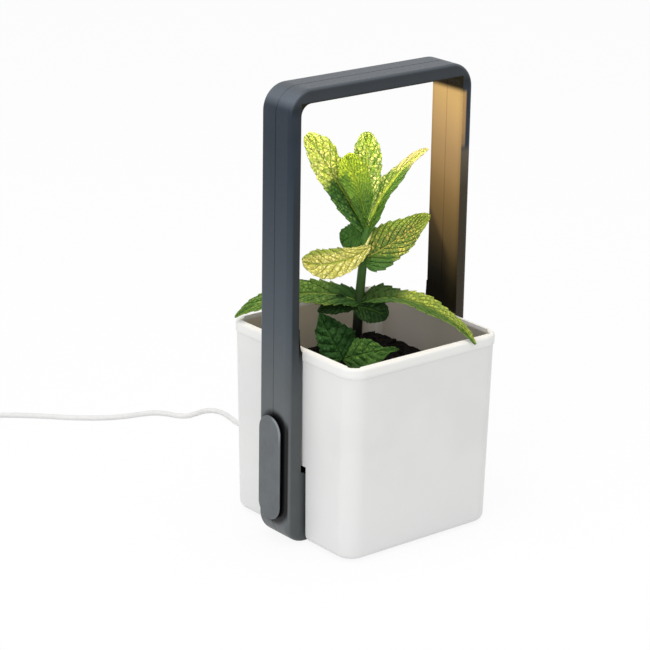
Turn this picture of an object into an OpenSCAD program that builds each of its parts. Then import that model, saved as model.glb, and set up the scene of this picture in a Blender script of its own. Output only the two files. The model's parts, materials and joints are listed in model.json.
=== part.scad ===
// Countertop hydroponic garden: a white planter that stands in a slate grey lamp hoop,
// with a mint plant under the lamp. Millimetres, +Z up.
// The origin is on the worktop, under the middle of the hoop. X runs from leg to leg,
// and -Y is the front.

/* [Hoop] */
// Width of the hoop across both legs
hoop_w = 143.5; // [136:0.5:156]
// Height of the hoop above the worktop
hoop_h = 290; // [260:1:330]
// Depth of the hoop, front to back
hoop_d = 28.6; // [26:0.2:32]
// Thickness of the legs and bars
bar_t = 8.8; // [8.4:0.1:10]
// Outer radius of the hoop's four corners
corner_r = 16; // [14:0.5:20]
// Rounding of the hoop's outer edges
edge_r = 3; // [1:0.5:4]
// Rounding of the hoop's inner edges
inner_edge_r = 1.2; // [0.5:0.1:2]
// Wall of the two hoop shells
shell_wall = 1.8; // [1.4:0.1:2]
// Height of the thick foot of each leg
foot_h = 48; // [30:1:52]
// How far the foot stands in from the leg above it
foot_in = 4.4; // [3:0.2:4.6]

/* [Planter] */
// Width of the planter's rim, left to right
rim_w = 121; // [112:0.5:121]
// Depth of the planter's rim, front to back
rim_d = 124; // [110:1:130]
// Width of the planter at its base
base_w = 117; // [108:0.5:119]
// Depth of the planter at its base
base_d = 118; // [105:1:125]
// Height of the planter's rim above the worktop
pot_top = 128; // [110:1:140]
// Gap between the planter's skirt and the worktop
pot_gap = 1.6; // [0.5:0.1:3]
// Radius of the planter's upright corners
pot_corner_r = 12; // [8:1:20]
// Wall of the planter
pot_wall = 2.6; // [2:0.1:3.4]
// Height of the rim band
rim_band_h = 7; // [4:0.5:12]
// How far the rim band stands out
rim_band_out = 0.6; // [0.2:0.1:0.6]
// Height of the growing medium above the worktop
medium_top = 96; // [80:1:105]

/* [Lamp and button] */
// Length of the light window
window_l = 107; // [60:1:108]
// Width of the light window
window_w = 12; // [8:1:14]
// Number of lamp chips
chip_count = 12; // [4:1:14]
// Width of the button's pad
button_w = 21; // [14:1:22]
// Height of the button's pad
button_h = 68.5; // [50:0.5:70]
// Height of the pad's middle above the worktop
button_z = 50; // [48:1:54]
// Thickness of the pad
button_t = 2.1; // [1.5:0.1:3]
// Gap between the pad and the leg
button_gap = 1; // [0.8:0.1:2]

/* [Cord] */
// Diameter of the cord
cord_d = 3.6; // [3:0.1:4.5]
// Radius of the middle turn of the put-away coil
coil_r = 21.5; // [19:0.5:22]

/* [Plant] */
// Thickness of a leaf
leaf_t = 0.8; // [0.5:0.1:1.2]
// Radius of the stem at the growing medium
stem_r = 2.7; // [1.5:0.1:3.5]

/* [Hidden] */
$fn = 64;
SLATE = "#4b525c";
WHITE = "#e6e6e3";
BOARD = "#2f6b45";
SOIL = "#2a1c14";
LEAF_LIT = "#b9cf4e";
LEAF_DEEP = "#3d7a2a";
CORD_WHITE = "#ececea";

past = 1;                                         // how far a cut runs past the face it opens
slip = 0.1;                                       // gap between pieces that stay together

// hoop
foot_gap = 0.3;                                   // the shells stand clear of the worktop on the pad
hoop_half = hoop_w / 2;
ring_h = hoop_h - foot_gap;
bar_mid = hoop_half - bar_t / 2;                  // X of the middle of a leg
leg_in = hoop_half - bar_t;                       // X of a leg's inner face, above the planter
corner_x = hoop_half - corner_r;
corner_top = hoop_h - corner_r;
corner_low = foot_gap + corner_r;
bar_low_top = foot_gap + bar_t;                   // top of the bottom bar
side_gap = 0.3;                                   // running gap between planter and hoop
hug_x = rim_w / 2 + side_gap;                     // inner face of a leg beside the planter
foot_x = hug_x - foot_in;                         // inner face of a foot
flare_h = 15;                                     // height of the flare above the rim
foot_slope = 2.4;                                 // height of the slope on top of the foot
foot_hollow_z = 11;                               // the hollow in the foot runs from here
foot_roof = 2.5;                                  // to this far under its top
parting_r = 0.35;                                 // groove on the line where the shells meet
screw_r = 1.05;
boss_r = 1.9;
head_r = 2;
head_t = 1.7;
head_wall = 1.2;                                  // wall round each screw head
head_y = 6;                                       // Y of the screw heads' seats
mid_screw_z = 150;
foot_screw_z = 28;
foot_screw_in = 4;                                // from a foot's inner face to its screw
front_boss_end = -9;
pad_l = 81.6;                                     // pad under the bottom bar
pad_w = 20;
pad_t = 1.4;
slot_w = 8;                                       // slot for the button's shank
slot_h = 40;

// planter
pot_corner_low_r = 4.5;                           // rounding under the planter
rim_wall = 4.4;
floor_z = bar_low_top + side_gap;                 // the planter's floor rides just over the bottom bar
floor_t = 2.4;
notch_half = 16.8;                                // half width of the cut-outs for the feet
notch_top = 51.7;
notch_r = 6;                                      // rounding of the pot's lower corners beside the feet
pocket_wall = 2.4;
skirt_in = 5.5;                                   // from the pot's outside to the hollow under its floor
boss_foot_r = 6.5;                                // bosses over the planter's feet
foot_r = 5;
foot_places = [for (x = [-1, 1], y = [-1, 1]) [x * (base_w / 2 - 14), y * (base_d / 2 - 14)]];
band_z = pot_top - rim_band_h;

// growing system
plate_z = 30;
plate_t = 2;
post_at = 40;                                     // the plate's hollow posts, in X and in Y
post_r = 5;
post_bore_r = 3.4;
wick_x = 24;
wick_w = 16;
wick_t = 3;
wick_h = 50;
wick_gap = 0.2;

// lamp and electronics
lamp_board_z = hoop_h - shell_wall - 2;
lamp_board_l = window_l + 6;
chip_l = 3.5;
chip_t = 0.8;
control_board_z = 24;
control_board_h = 53;
board_x = -leg_in - shell_wall - 1.1;

// cord and plug: the route's own points, laid by hand
exit_x = 65.4;
exit_z = 14;
grommet_l = 16;                                   // strain relief behind the leg
neck_r = 3;                                       // its neck, in the hole of the back shell
exit_y = hoop_d / 2 + grommet_l;
floor_c = cord_d / 2;                             // height of the cord's middle on the worktop
coil_x = -135;
coil_y = 282.5;
coil_z = floor_c + 0.3;
route = [
    [exit_x, exit_y, exit_z], [exit_x, exit_y + 3, exit_z], [65.4, 39, 13.1], [65.4, 45, 10.4],
    [65.4, 51, 6.8], [65.2, 58, 3.6], [64.6, 66, 2.1], [63, 76, 1.9], [59, 91, floor_c], [53, 107, floor_c],
    [45, 124, floor_c],
    [37, 141, floor_c], [31.5, 156, floor_c], [29, 170, floor_c], [31, 183, floor_c], [32, 193, floor_c],
    [29.5, 201, floor_c], [23.5, 203.8, floor_c], [15, 203, floor_c], [8.5, 203.6, floor_c],
    [3.5, 208, floor_c], [-1, 216, floor_c], [-7.5, 222.5, floor_c], [-16, 225.6, floor_c],
    [-28, 229, floor_c], [-42, 236, floor_c], [-57, 247.5, floor_c], [-72, 262, floor_c],
    [-85, 274, floor_c], [-96, 282.5, floor_c], [-106, 291, floor_c], [-114, 298, 1.9],
    [-121, 303.5, coil_z]
];
grip_l = 24;
grip_w = 15;
grip_t = 8;
tail_x = coil_x - coil_r - cord_d;
plug_y = 254;
tail = [
    [tail_x, coil_y, coil_z + cord_d], [tail_x, 273, 5.4], [tail_x, 264, 4.5], [tail_x, 258, grip_t / 2],
    [tail_x, plug_y, grip_t / 2]
];

// plant: the stem is a slow curve from the growing medium to the top cluster
stem_base = [10, 20, medium_top - 12];
stem_top_z = 186;
shoot_tip = [-8, 11, 104];
// heading of the stem's lean
lean = [0.78, -0.63];

// ---------- helpers ----------

// stands a flat XZ drawing up, with its thickness centred on Y = 0
module upright(depth) {
    rotate([90, 0, 0]) translate([0, 0, -depth / 2]) linear_extrude(depth) children();
}

// what a fillet of radius r takes off a square corner at the origin
module fillet_cut(r) {
    difference() {
        translate([-past, -past]) square(r + past);
        translate([r, r]) circle(r);
    }
}

// cross-section of the hoop's bar: x runs from its inner face outwards, y along its depth
module bar_section(t, d, ro, ri) {
    difference() {
        translate([0, -d / 2]) square([t, d]);
        for (m = [0, 1]) mirror([0, m]) {
            translate([0, -d / 2]) fillet_cut(ri);
            translate([t, -d / 2]) mirror([1, 0]) fillet_cut(ro);
        }
    }
}

// carries a bar section, given as its child, once round the hoop
module round_hoop() {
    corners = [
        [corner_x, corner_top], [-corner_x, corner_top], [-corner_x, corner_low], [corner_x, corner_low]
    ];
    lengths = [corner_top - corner_low, 2 * corner_x, corner_top - corner_low, 2 * corner_x];
    for (i = [0:3]) translate([corners[i].x, 0, corners[i].y]) rotate([90, 0, 0]) rotate([0, 0, 90 * i]) {
        rotate_extrude(angle = 90) translate([corner_r - bar_t, 0]) children();
        translate([corner_r - bar_t, 0, 0]) rotate([90, 0, 0]) linear_extrude(lengths[i]) children();
    }
}

// plate with rounded corners, centred
module round_plate(w, d, t, r) {
    linear_extrude(t) {
        square([w - 2 * r, d], center = true);
        square([w, d - 2 * r], center = true);
        for (x = [-1, 1], y = [-1, 1]) translate([x * (w / 2 - r), y * (d / 2 - r)]) circle(r);
    }
}

// a slot with round ends, upright, drawn in the YZ plane and running along X from x0 to x1
module pill_x(x0, x1, w, h) {
    translate([x0, 0, 0]) rotate([90, 0, 90]) linear_extrude(x1 - x0) {
        square([w, h - w], center = true);
        for (s = [-1, 1]) translate([0, s * (h - w) / 2]) circle(w / 2);
    }
}

// cylinder along Y from y0 to y1
module rod_y(r, y0, y1) {
    translate([0, y1, 0]) rotate([90, 0, 0]) cylinder(r = r, h = y1 - y0);
}

// closed skin over rings that all have the same, even number of points
module skin(rings) {
    n = len(rings[0]);
    m = len(rings);
    points = [for (ring = rings) for (p = ring) p];
    sides = [for (i = [0:m - 2], j = [0:n - 1]) let (k = (j + 1) % n)
        each [[i * n + j, (i + 1) * n + j, (i + 1) * n + k], [i * n + j, (i + 1) * n + k, i * n + k]]];
    cap = [for (j = [0:n / 2 - 2]) each [[j, j + 1, n - 2 - j], [j, n - 2 - j, n - 1 - j]]];
    end_cap = [for (c = cap) [for (k = [2:-1:0]) c[k] + (m - 1) * n]];
    polyhedron(points, concat(sides, cap, end_cap));
}

function unit(v) = v / norm(v);

// ring of a round tube at point p: t is the way along, ref any direction across it
function tube_ring(p, t, r, ref, sides) =
    let (a = unit(cross(t, ref)), b = unit(cross(t, a)))
    [for (j = [0:sides - 1]) let (q = 360 * j / sides) p + r * (cos(q) * a + sin(q) * b)];

function way(path, i) = path[min(i + 1, len(path) - 1)] - path[max(i - 1, 0)];

// round tube along a path, with one radius for each point
module tube(path, radii, ref, sides) {
    skin([for (i = [0:len(path) - 1]) tube_ring(path[i], way(path, i), radii[i], ref, sides)]);
}

// ---------- hoop ----------

module bosses() {
    for (p = screw_places()) translate([p.x, 0, p.y]) {
        rod_y(boss_r, past - hoop_d / 2, 0);
        rod_y(head_r + head_wall, 0, hoop_d / 2 - past);
    }
}

// X and Z of the six screws: top corners, middle of the legs, feet
function screw_places() =
    let (k = (corner_r - bar_t / 2) * sin(45))
    [for (s = [-1, 1]) each [
        [s * (corner_x + k), corner_top + k], [s * bar_mid, mid_screw_z],
        [s * (foot_x + foot_screw_in), foot_screw_z]]];

// inner side of a leg: flare above the rim, straight run down the planter, then the foot
module leg_profile() {
    flare_steps = 8;
    inside = leg_in + 2;
    flare_z = pot_top - 1;
    polygon(concat(
        [[inside, flare_z + flare_h]],
        [for (i = [0:flare_steps]) let (a = 90 * i / flare_steps)
            [leg_in - (leg_in - hug_x) * (1 - cos(a)), flare_z + flare_h * (1 - sin(a))]],
        [[hug_x, foot_h], [foot_x + 1, foot_h - foot_slope / 2], [foot_x, foot_h - foot_slope],
         [foot_x, bar_low_top - past], [inside, bar_low_top - past]]
    ));
}

module hoop_solid() {
    round_hoop() bar_section(bar_t, hoop_d, edge_r, inner_edge_r);
    for (m = [0, 1]) mirror([m, 0, 0]) upright(hoop_d) leg_profile();
}

module hoop_hollow() {
    t = bar_t - 2 * shell_wall;
    d = hoop_d - 2 * shell_wall;
    round_hoop() translate([shell_wall, -d / 2]) square([t, d]);
    for (m = [0, 1]) mirror([m, 0, 0])
        translate([foot_x + shell_wall, -d / 2, foot_hollow_z])
            cube([leg_in + t - foot_x - shell_wall, d, foot_h - foot_roof - foot_hollow_z]);
}

// shallow groove on the hoop's parting line: right round its outside, and inside above the planter
module parting_groove() {
    round_hoop() translate([bar_t, 0]) circle(parting_r, $fn = 8);
    intersection() {
        round_hoop() circle(parting_r, $fn = 8);
        translate([-hoop_w, -past, pot_top + flare_h]) cube([2 * hoop_w, 2 * past, hoop_h]);
    }
}

module window_cut() {
    translate([-window_l / 2, -window_w / 2, hoop_h - bar_t - past])
        cube([window_l, window_w, shell_wall + past + slip]);
}

module pad_recess() {
    translate([0, 0, -past]) round_plate(pad_l + 0.4, pad_w + 0.4, pad_t + slip + past, 3);
}

// one half of the hoop: side is -1 for the front, 1 for the back
module hoop_half_shell(side) {
    back = side > 0 ? 0 : 1;
    difference() {
        intersection() {
            union() {
                difference() {
                    hoop_solid();
                    hoop_hollow();
                }
                bosses();
            }
            mirror([0, back, 0]) translate([-hoop_w, 0, -past]) cube([2 * hoop_w, hoop_d, 2 * hoop_h]);
        }
        parting_groove();
        window_cut();
        pad_recess();
        translate([0, 0, button_z])
            pill_x(-hoop_half - past, -hoop_half + shell_wall + slip, slot_w, slot_h);
        for (p = screw_places()) translate([p.x, 0, p.y]) {
            rod_y(screw_r + 0.05, front_boss_end, past);
            rod_y(screw_r + 0.15, 0, hoop_d);
            rod_y(head_r + 0.2, head_y, hoop_d);
        }
        translate([exit_x, 0, exit_z]) rod_y(neck_r + 0.05, hoop_d / 2 - shell_wall - past, hoop_d);
    }
}

module hoop_front_shell() {
    color(SLATE) hoop_half_shell(-1);
}

module hoop_back_shell() {
    color(SLATE) hoop_half_shell(1);
}

module hoop_screws() {
    color("silver") for (p = screw_places()) translate([p.x, 0, p.y]) difference() {
        union() {
            rod_y(screw_r, front_boss_end + 1, head_y + 0.5);
            rod_y(head_r, head_y, head_y + head_t);
        }
        for (a = [0, 90]) rotate([0, a, 0])
            translate([-1.3, head_y + head_t / 2, -0.25]) cube([2.6, head_t, 0.5]);
    }
}

module base_pad() {
    color("dimgray") round_plate(pad_l, pad_w, pad_t, 2.8);
}

// ---------- lamp ----------

module led_board() {
    color(BOARD) translate([-lamp_board_l / 2, -5, lamp_board_z]) cube([lamp_board_l, 10, 1]);
}

module led_chips() {
    first_x = -window_l / 2 + 6;
    pitch = -2 * first_x / (chip_count - 1);
    color("khaki") for (i = [0:chip_count - 1])
        translate([first_x + pitch * i - chip_l / 2, -1.4, lamp_board_z - chip_t])
            cube([chip_l, 2.8, chip_t]);
}

module light_diffuser() {
    ledge = hoop_h - bar_t + shell_wall;
    color("ivory") {
        translate([-window_l / 2 + 0.2, -window_w / 2 + 0.2, hoop_h - bar_t + slip])
            cube([window_l - 0.4, window_w - 0.4, shell_wall]);
        translate([-window_l / 2 - 1, -window_w / 2 - 2, ledge]) cube([window_l + 2, window_w + 4, 0.9]);
    }
}

// flat lead along the inner wall of the left leg and round its top corner to the lamp board
module lamp_ribbon() {
    r = corner_r - bar_t + shell_wall + slip;
    low = control_board_z + control_board_h;
    t = 0.4;
    w = 5;
    front = 4;
    color("darkorange") {
        translate([-corner_x - r - t, -front - w, low]) cube([t, w, corner_top - low]);
        translate([-corner_x, 0, corner_top]) rotate([90, 0, 0]) rotate([0, 0, 90])
            rotate_extrude(angle = 90) translate([r, front]) square([t, w]);
        translate([-corner_x - t, -front - w, corner_top + r]) cube([t, w, lamp_board_z - corner_top - r]);
    }
}

// ---------- button and electronics ----------

module control_board() {
    color(BOARD) translate([board_x, -8, control_board_z]) cube([0.9, 16, control_board_h]);
}

module push_switch() {
    color("black") translate([board_x - 1.4, -3, button_z - 3]) cube([1.4, 6, 6]);
    color("white") translate([board_x - 1.9, 0, button_z]) rotate([0, 90, 0]) cylinder(r = 1.5, h = 0.6);
}

module light_button() {
    out = -hoop_half - button_gap - button_t;
    round_edge = 0.7;
    shank_gap = 0.6;
    lip = 1.6;
    behind = -hoop_half + shell_wall;
    color("#6b7073") translate([0, 0, button_z]) {
        pill_x(out + round_edge, -hoop_half - button_gap, button_w, button_h);
        pill_x(out, out + round_edge + 0.1, button_w - 2 * round_edge, button_h - 2 * round_edge);
        pill_x(-hoop_half - button_gap - 0.1, behind + 1, slot_w - shank_gap, slot_h - shank_gap);
        pill_x(behind + 0.35, behind + 1.2, slot_w + lip, slot_h + lip);
    }
}

// ---------- cord ----------

module power_lead() {
    bar_z = foot_gap + bar_t / 2;
    end_x = board_x + 0.45;
    path = [
        [exit_x, 11.3, exit_z], [exit_x, 10, exit_z], [exit_x, 8, 12.6], [exit_x, 7, 10], [63, 7, 7],
        [60, 7, 4.9], [56, 7, bar_z], [-56, 7, bar_z], [-60, 7, 5.2], [-63, 6.4, 8.2], [-65, 5.4, 12],
        [end_x, 5, 16], [end_x, 5, control_board_z - slip]
    ];
    color("firebrick") tube(path, [for (p = path) 0.75], [0, 1, 0.1], 8);
}

module cord_grommet() {
    color(CORD_WHITE) translate([exit_x, 0, exit_z]) {
        rod_y(neck_r + 0.8, hoop_d / 2 - shell_wall - 1.2, hoop_d / 2 - shell_wall - 0.05);
        rod_y(neck_r, hoop_d / 2 - shell_wall - 1.2, hoop_d / 2 + 1);
        translate([0, hoop_d / 2 + slip, 0]) rotate([-90, 0, 0])
            cylinder(r1 = 3.5, r2 = 2.2, h = grommet_l - slip);
    }
}

module usb_cord() {
    color(CORD_WHITE) tube(route, [for (p = route) cord_d / 2], [0, 0, 1], 8);
}

// outer shape of six turns, three across and two high
module cord_coil() {
    half = 1.5 * cord_d + 0.1;
    color(CORD_WHITE) translate([coil_x, coil_y, coil_z - cord_d / 2])
        rotate_extrude() translate([coil_r - half, 0]) square([2 * half, 2 * cord_d]);
}

module cord_tail() {
    color(CORD_WHITE) tube(tail, [for (p = tail) cord_d / 2], [0, 0, 1], 8);
}

// strap round the coil's section, on the side away from the cord's ends
module cord_tie() {
    half = 1.5 * cord_d + 0.45;
    low = coil_z - cord_d / 2;
    color("white") translate([coil_x, coil_y - coil_r, 0]) difference() {
        translate([-3, -half - 1, 0]) cube([6, 2 * half + 2, low + 2 * cord_d + 0.9]);
        translate([-4, -half, low - 0.05]) cube([8, 2 * half, 2 * cord_d + 0.1]);
    }
}

module plug_grip() {
    color(CORD_WHITE) translate([tail_x, plug_y, grip_t / 2]) rotate([90, 0, 0]) {
        cylinder(r1 = 2.6, r2 = 3.4, h = 6);
        translate([0, 0, 6]) linear_extrude(grip_l - 6) {
            square([grip_w, grip_t - 3], center = true);
            square([grip_w - 3, grip_t], center = true);
            for (x = [-1, 1], y = [-1, 1])
                translate([x * (grip_w / 2 - 1.5), y * (grip_t / 2 - 1.5)]) circle(1.5);
        }
    }
}

module plug_shell() {
    w = 12;
    t = 4.5;
    color("silver") translate([tail_x, plug_y - grip_l, grip_t / 2]) rotate([90, 0, 0]) difference() {
        translate([-w / 2, -t / 2, 0]) cube([w, t, 12.5]);
        translate([-w / 2 + 0.4, -0.4, 2]) cube([w - 0.8, t / 2, 12]);
    }
}

// ---------- planter ----------

module pot_body() {
    r = pot_corner_low_r;
    steps = [for (a = [0:15:90]) [r * (1 - cos(a)), pot_gap + r * (1 - sin(a))]];
    hull() {
        for (s = steps) translate([0, 0, s[1]])
            round_plate(base_w - 2 * s[0], base_d - 2 * s[0], 0.01, pot_corner_r - s[0], $fn = 48);
        translate([0, 0, band_z]) round_plate(rim_w - 2 * rim_band_out, rim_d - 2 * rim_band_out, 0.5,
            pot_corner_r, $fn = 48);
    }
}

module rim_band() {
    hull() for (s = [[rim_band_out, 0], [0, rim_band_out], [0, rim_band_h - 1.8], [0.5, rim_band_h - 0.6],
            [1.6, rim_band_h]])
        translate([0, 0, band_z + s[1]])
            round_plate(rim_w - 2 * s[0], rim_d - 2 * s[0], 0.01, pot_corner_r - s[0] * 0.8, $fn = 48);
}

// what the planter holds: from its floor to above its rim
module pot_inside(shrink = 0) {
    low_w = base_w - 2 * pot_wall - 2 * shrink;
    low_d = base_d - 2 * pot_wall - 2 * shrink;
    top_w = rim_w - 2 * rim_wall - 2 * shrink;
    top_d = rim_d - 2 * rim_wall - 2 * shrink;
    r = pot_corner_r - pot_wall;
    hull() {
        translate([0, 0, floor_z + floor_t]) round_plate(low_w - 6, low_d - 6, 0.01, r - 3, $fn = 48);
        translate([0, 0, floor_z + floor_t + 3]) round_plate(low_w, low_d, 0.01, r, $fn = 48);
        translate([0, 0, pot_top - 1]) round_plate(top_w, top_d, 3, r, $fn = 48);
    }
}

// block behind each foot: grown by a wall for the planter, at its own size for the cut
module foot_pocket(grow) {
    x = foot_x - side_gap - grow;
    for (m = [0, 1]) mirror([m, 0, 0]) translate([x, -notch_half - grow, -1])
        cube([rim_w, 2 * (notch_half + grow), notch_top + grow + 1]);
}

// what is cut away under the planter to round its lower corners beside each foot
module foot_corner_cut() {
    half = notch_half + notch_r;
    z = pot_gap + notch_r;
    difference() {
        translate([-rim_w, -half, -past]) cube([2 * rim_w, 2 * half, z + past]);
        for (s = [-1, 1]) translate([-rim_w - past, s * half, z]) rotate([0, 90, 0])
            cylinder(r = notch_r, h = 2 * rim_w + 2 * past, $fn = 48);
    }
}

module planter_pot() {
    color(WHITE) {
        difference() {
            union() {
                difference() {
                    union() {
                        pot_body();
                        rim_band();
                    }
                    pot_inside();
                }
                intersection() {
                    pot_body();
                    foot_pocket(pocket_wall);
                    translate([-rim_w, -rim_d, floor_z]) cube([2 * rim_w, 2 * rim_d, pot_top]);
                }
            }
            foot_pocket(0);
            foot_corner_cut();
            translate([-rim_w, -notch_half, -1]) cube([2 * rim_w, 2 * notch_half, floor_z + 1]);
            translate([0, 0, -1]) round_plate(base_w - 2 * skirt_in, base_d - 2 * skirt_in, floor_z + 1, 7);
        }
        for (p = foot_places) translate([p.x, p.y, pot_gap + 0.4]) difference() {
            cylinder(r = boss_foot_r, h = floor_z - pot_gap);
            translate([0, 0, -past]) cylinder(r = foot_r + slip, h = past + 0.6);
        }
    }
}

module planter_feet() {
    color("dimgray") for (p = foot_places) translate([p.x, p.y, 0]) cylinder(r = foot_r, h = pot_gap + 0.9);
}

module wick_plate() {
    w = base_w - 2 * pot_wall - 4;
    d = base_d - 2 * pot_wall - 4;
    color("gainsboro") difference() {
        union() {
            translate([0, 0, plate_z]) round_plate(w, d, plate_t, 8);
            for (x = [-1, 1], y = [-1, 1]) translate([x * post_at, y * post_at, floor_z + floor_t + slip])
                cylinder(r = post_r, h = plate_z - floor_z - floor_t);
        }
        for (x = [-1, 1], y = [-1, 1]) translate([x * post_at, y * post_at, floor_z])
            cylinder(r = post_bore_r, h = plate_z - floor_z);
        for (x = [-40:16:40], y = [-48:16:48]) if (abs(abs(x) - wick_x) > 1)
            translate([x, y, plate_z - past]) cylinder(r = 2, h = plate_t + 2 * past);
        for (x = [-1, 1]) translate([x * wick_x, 0, plate_z])
            linear_extrude(2 * plate_t + past, center = true)
                square([wick_t + 2 * wick_gap, wick_w + 2 * wick_gap], center = true);
        foot_pocket(pocket_wall + 0.8);
    }
}

module wicks() {
    color("linen") for (x = [-1, 1])
        translate([x * wick_x - wick_t / 2, -wick_w / 2, floor_z + floor_t + wick_gap])
            cube([wick_t, wick_w, wick_h]);
}

module growing_medium() {
    mounds = [[10, 18, 26, 4], [-24, -14, 24, 2.6], [26, -22, 22, 2], [-22, 30, 20, 3]];
    color(SOIL) difference() {
        union() {
            intersection() {
                pot_inside(0.3);
                translate([-rim_w, -rim_d, plate_z + plate_t + slip])
                    cube([2 * rim_w, 2 * rim_d, medium_top - plate_z - plate_t]);
            }
            for (m = mounds) translate([m[0], m[1], medium_top - 0.5])
                cylinder(r1 = m[2], r2 = m[2] * 0.35, h = m[3], $fn = 20);
        }
        foot_pocket(pocket_wall + 0.3);
        for (x = [-1, 1]) translate([x * wick_x - wick_t / 2 - slip, -wick_w / 2 - slip, 0])
            cube([wick_t + 2 * slip, wick_w + 2 * slip, floor_z + floor_t + wick_h + wick_gap + slip]);
    }
}

// ---------- plant ----------

// middle of the stem at height z
function stem_at(z) =
    let (t = (z - 95) / 90, d = t + 4.5 * t * abs(t))
    [stem_base.x + lean.x * d, stem_base.y + lean.y * d, z];

module plant_stem() {
    heights = [for (i = [0:10]) stem_base.z + (stem_top_z - stem_base.z) * i / 10];
    shoot = [for (t = [0:0.25:1]) stem_at(94) * (1 - t) + shoot_tip * t + [0, 0, 3 * t * (1 - t)]];
    color("#3f5a22") {
        tube([for (z = heights) stem_at(z)], [for (i = [0:10]) stem_r - 0.08 * i], [0, 1, 0], 10);
        tube(shoot, [for (i = [0:4]) 1.4 - 0.12 * i], [0, 0, 1], 8);
    }
}

// how wide a leaf is along its length, from 0 at the stalk to 1 at its widest, which is at peak;
// a low power keeps its ends blunt
function leaf_shape(s, peak, power) = pow(sin(180 * pow(s, ln(0.5) / ln(peak))), power);

// middle of a blade at s, from 0 to 1: its pitch turns steadily from pitch to pitch + bend
function blade_mid(base, head, pitch, bend, length, s) =
    let (k = bend * PI / 180, a = pitch + bend * s,
         out = length * (sin(a) - sin(pitch)) / k, up = length * (cos(pitch) - cos(a)) / k)
    base + [out * cos(head), out * sin(head), up];

// a leaf: heading and pitch at its stalk, how its pitch bends towards the tip, length, width,
// roll about its midrib, and how far its two halves fold up
module leaf(base, head, pitch, bend, length, width, roll, fold, peak, power) {
    stations = 12;
    across = [-1, -0.5, 0, 0.5, 1];
    function ring(s) = let (
        a = pitch + bend * s,
        mid = blade_mid(base, head, pitch, bend, length, s),
        up = [-sin(a) * cos(head), -sin(a) * sin(head), cos(a)],
        side = [-sin(head), cos(head), 0],
        side2 = side * cos(roll) + up * sin(roll),
        up2 = up * cos(roll) - side * sin(roll),
        w = max(0.5, width / 2 * leaf_shape(s, peak, power)),
        t = leaf_t / 2)
        concat(
            [for (v = across) mid - side2 * v * w * cos(fold) + up2 * (abs(v) * w * sin(fold) + t)],
            [for (v = across) mid + side2 * v * w * cos(fold) + up2 * (abs(v) * w * sin(fold) - t)]);
    skin([for (i = [0:stations]) ring(0.01 + 0.98 * i / stations)]);
}

module leaf_upper_left() {
    color(LEAF_LIT) leaf(stem_at(182), 150, 61.5, -6, 75.5, 22, -66, 6, 0.55, 0.42);
}

module leaf_inner() {
    color(LEAF_LIT) leaf(stem_at(182), 160, 84.5, -22, 54, 19.5, -72, 8, 0.66, 0.38);
}

module leaf_centre() {
    color(LEAF_LIT) leaf(stem_at(184), 57, 84, -10, 61.5, 19.5, 0, 6, 0.68, 0.5);
}

module leaf_upper_right() {
    color(LEAF_LIT) leaf(stem_at(180), -24, 77.5, -46, 69, 15.5, 28, 12, 0.34, 0.62);
}

module leaf_mid_right() {
    color(LEAF_LIT) leaf(stem_at(164.5), -52, 31, 15, 53, 28, 60, 6, 0.26, 0.58);
}

module leaf_mid_left() {
    color(LEAF_LIT) leaf(stem_at(174.5) + [1.6, -4, 0], 168, -34, 56, 50.5, 21.5, -50, 6, 0.65, 0.46);
}

module leaf_small_back() {
    color(LEAF_DEEP) leaf(stem_at(181.5), 120, -13, -30, 19.5, 17.5, -65, 6, 0.55, 0.5);
}

module leaf_low_left() {
    color(LEAF_DEEP) leaf(stem_at(136.5), 154.5, 23, -54, 84, 22.5, -30, 10, 0.27, 0.6);
}

module leaf_low_right() {
    color(LEAF_DEEP) leaf(stem_at(135), -74, 29, -69, 94, 16.5, 19, 14, 0.4, 0.75);
}

module leaf_tuft_left() {
    color(LEAF_DEEP) leaf(stem_at(134), 172, 20, -40, 30.5, 13, -50, 5, 0.5, 0.6);
}

module leaf_tuft_right() {
    color(LEAF_DEEP) leaf(stem_at(134) + [-5, 0, 0], -52, 4, -34, 23.5, 18.5, 58, 5, 0.5, 0.5);
}

module leaf_front_left() {
    color(LEAF_DEEP) leaf(shoot_tip, 160, 60, 6, 36, 24, -78, 5, 0.38, 0.75);
}

module leaf_front_right() {
    color(LEAF_DEEP) leaf(shoot_tip, -50, 22, -14, 37, 20, 55, 5, 0.36, 0.75);
}

hoop_front_shell();
hoop_back_shell();
hoop_screws();
base_pad();
led_board();
led_chips();
light_diffuser();
lamp_ribbon();
control_board();
push_switch();
power_lead();
cord_grommet();
usb_cord();
cord_coil();
cord_tail();
cord_tie();
plug_grip();
plug_shell();
light_button();
planter_pot();
planter_feet();
wick_plate();
wicks();
growing_medium();
plant_stem();
leaf_upper_left();
leaf_inner();
leaf_centre();
leaf_upper_right();
leaf_mid_right();
leaf_mid_left();
leaf_small_back();
leaf_low_left();
leaf_low_right();
leaf_tuft_left();
leaf_tuft_right();
leaf_front_left();
leaf_front_right();
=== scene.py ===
"""Looks of the countertop hydroponic garden: slate lamp hoop, white planter, mint plant and white cord.
Metres, +Z up, origin on the worktop under the middle of the hoop, -Y to the front."""
import json
import math
import random

import bpy
import numpy as np
from mathutils import Matrix, Vector, noise


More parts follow.
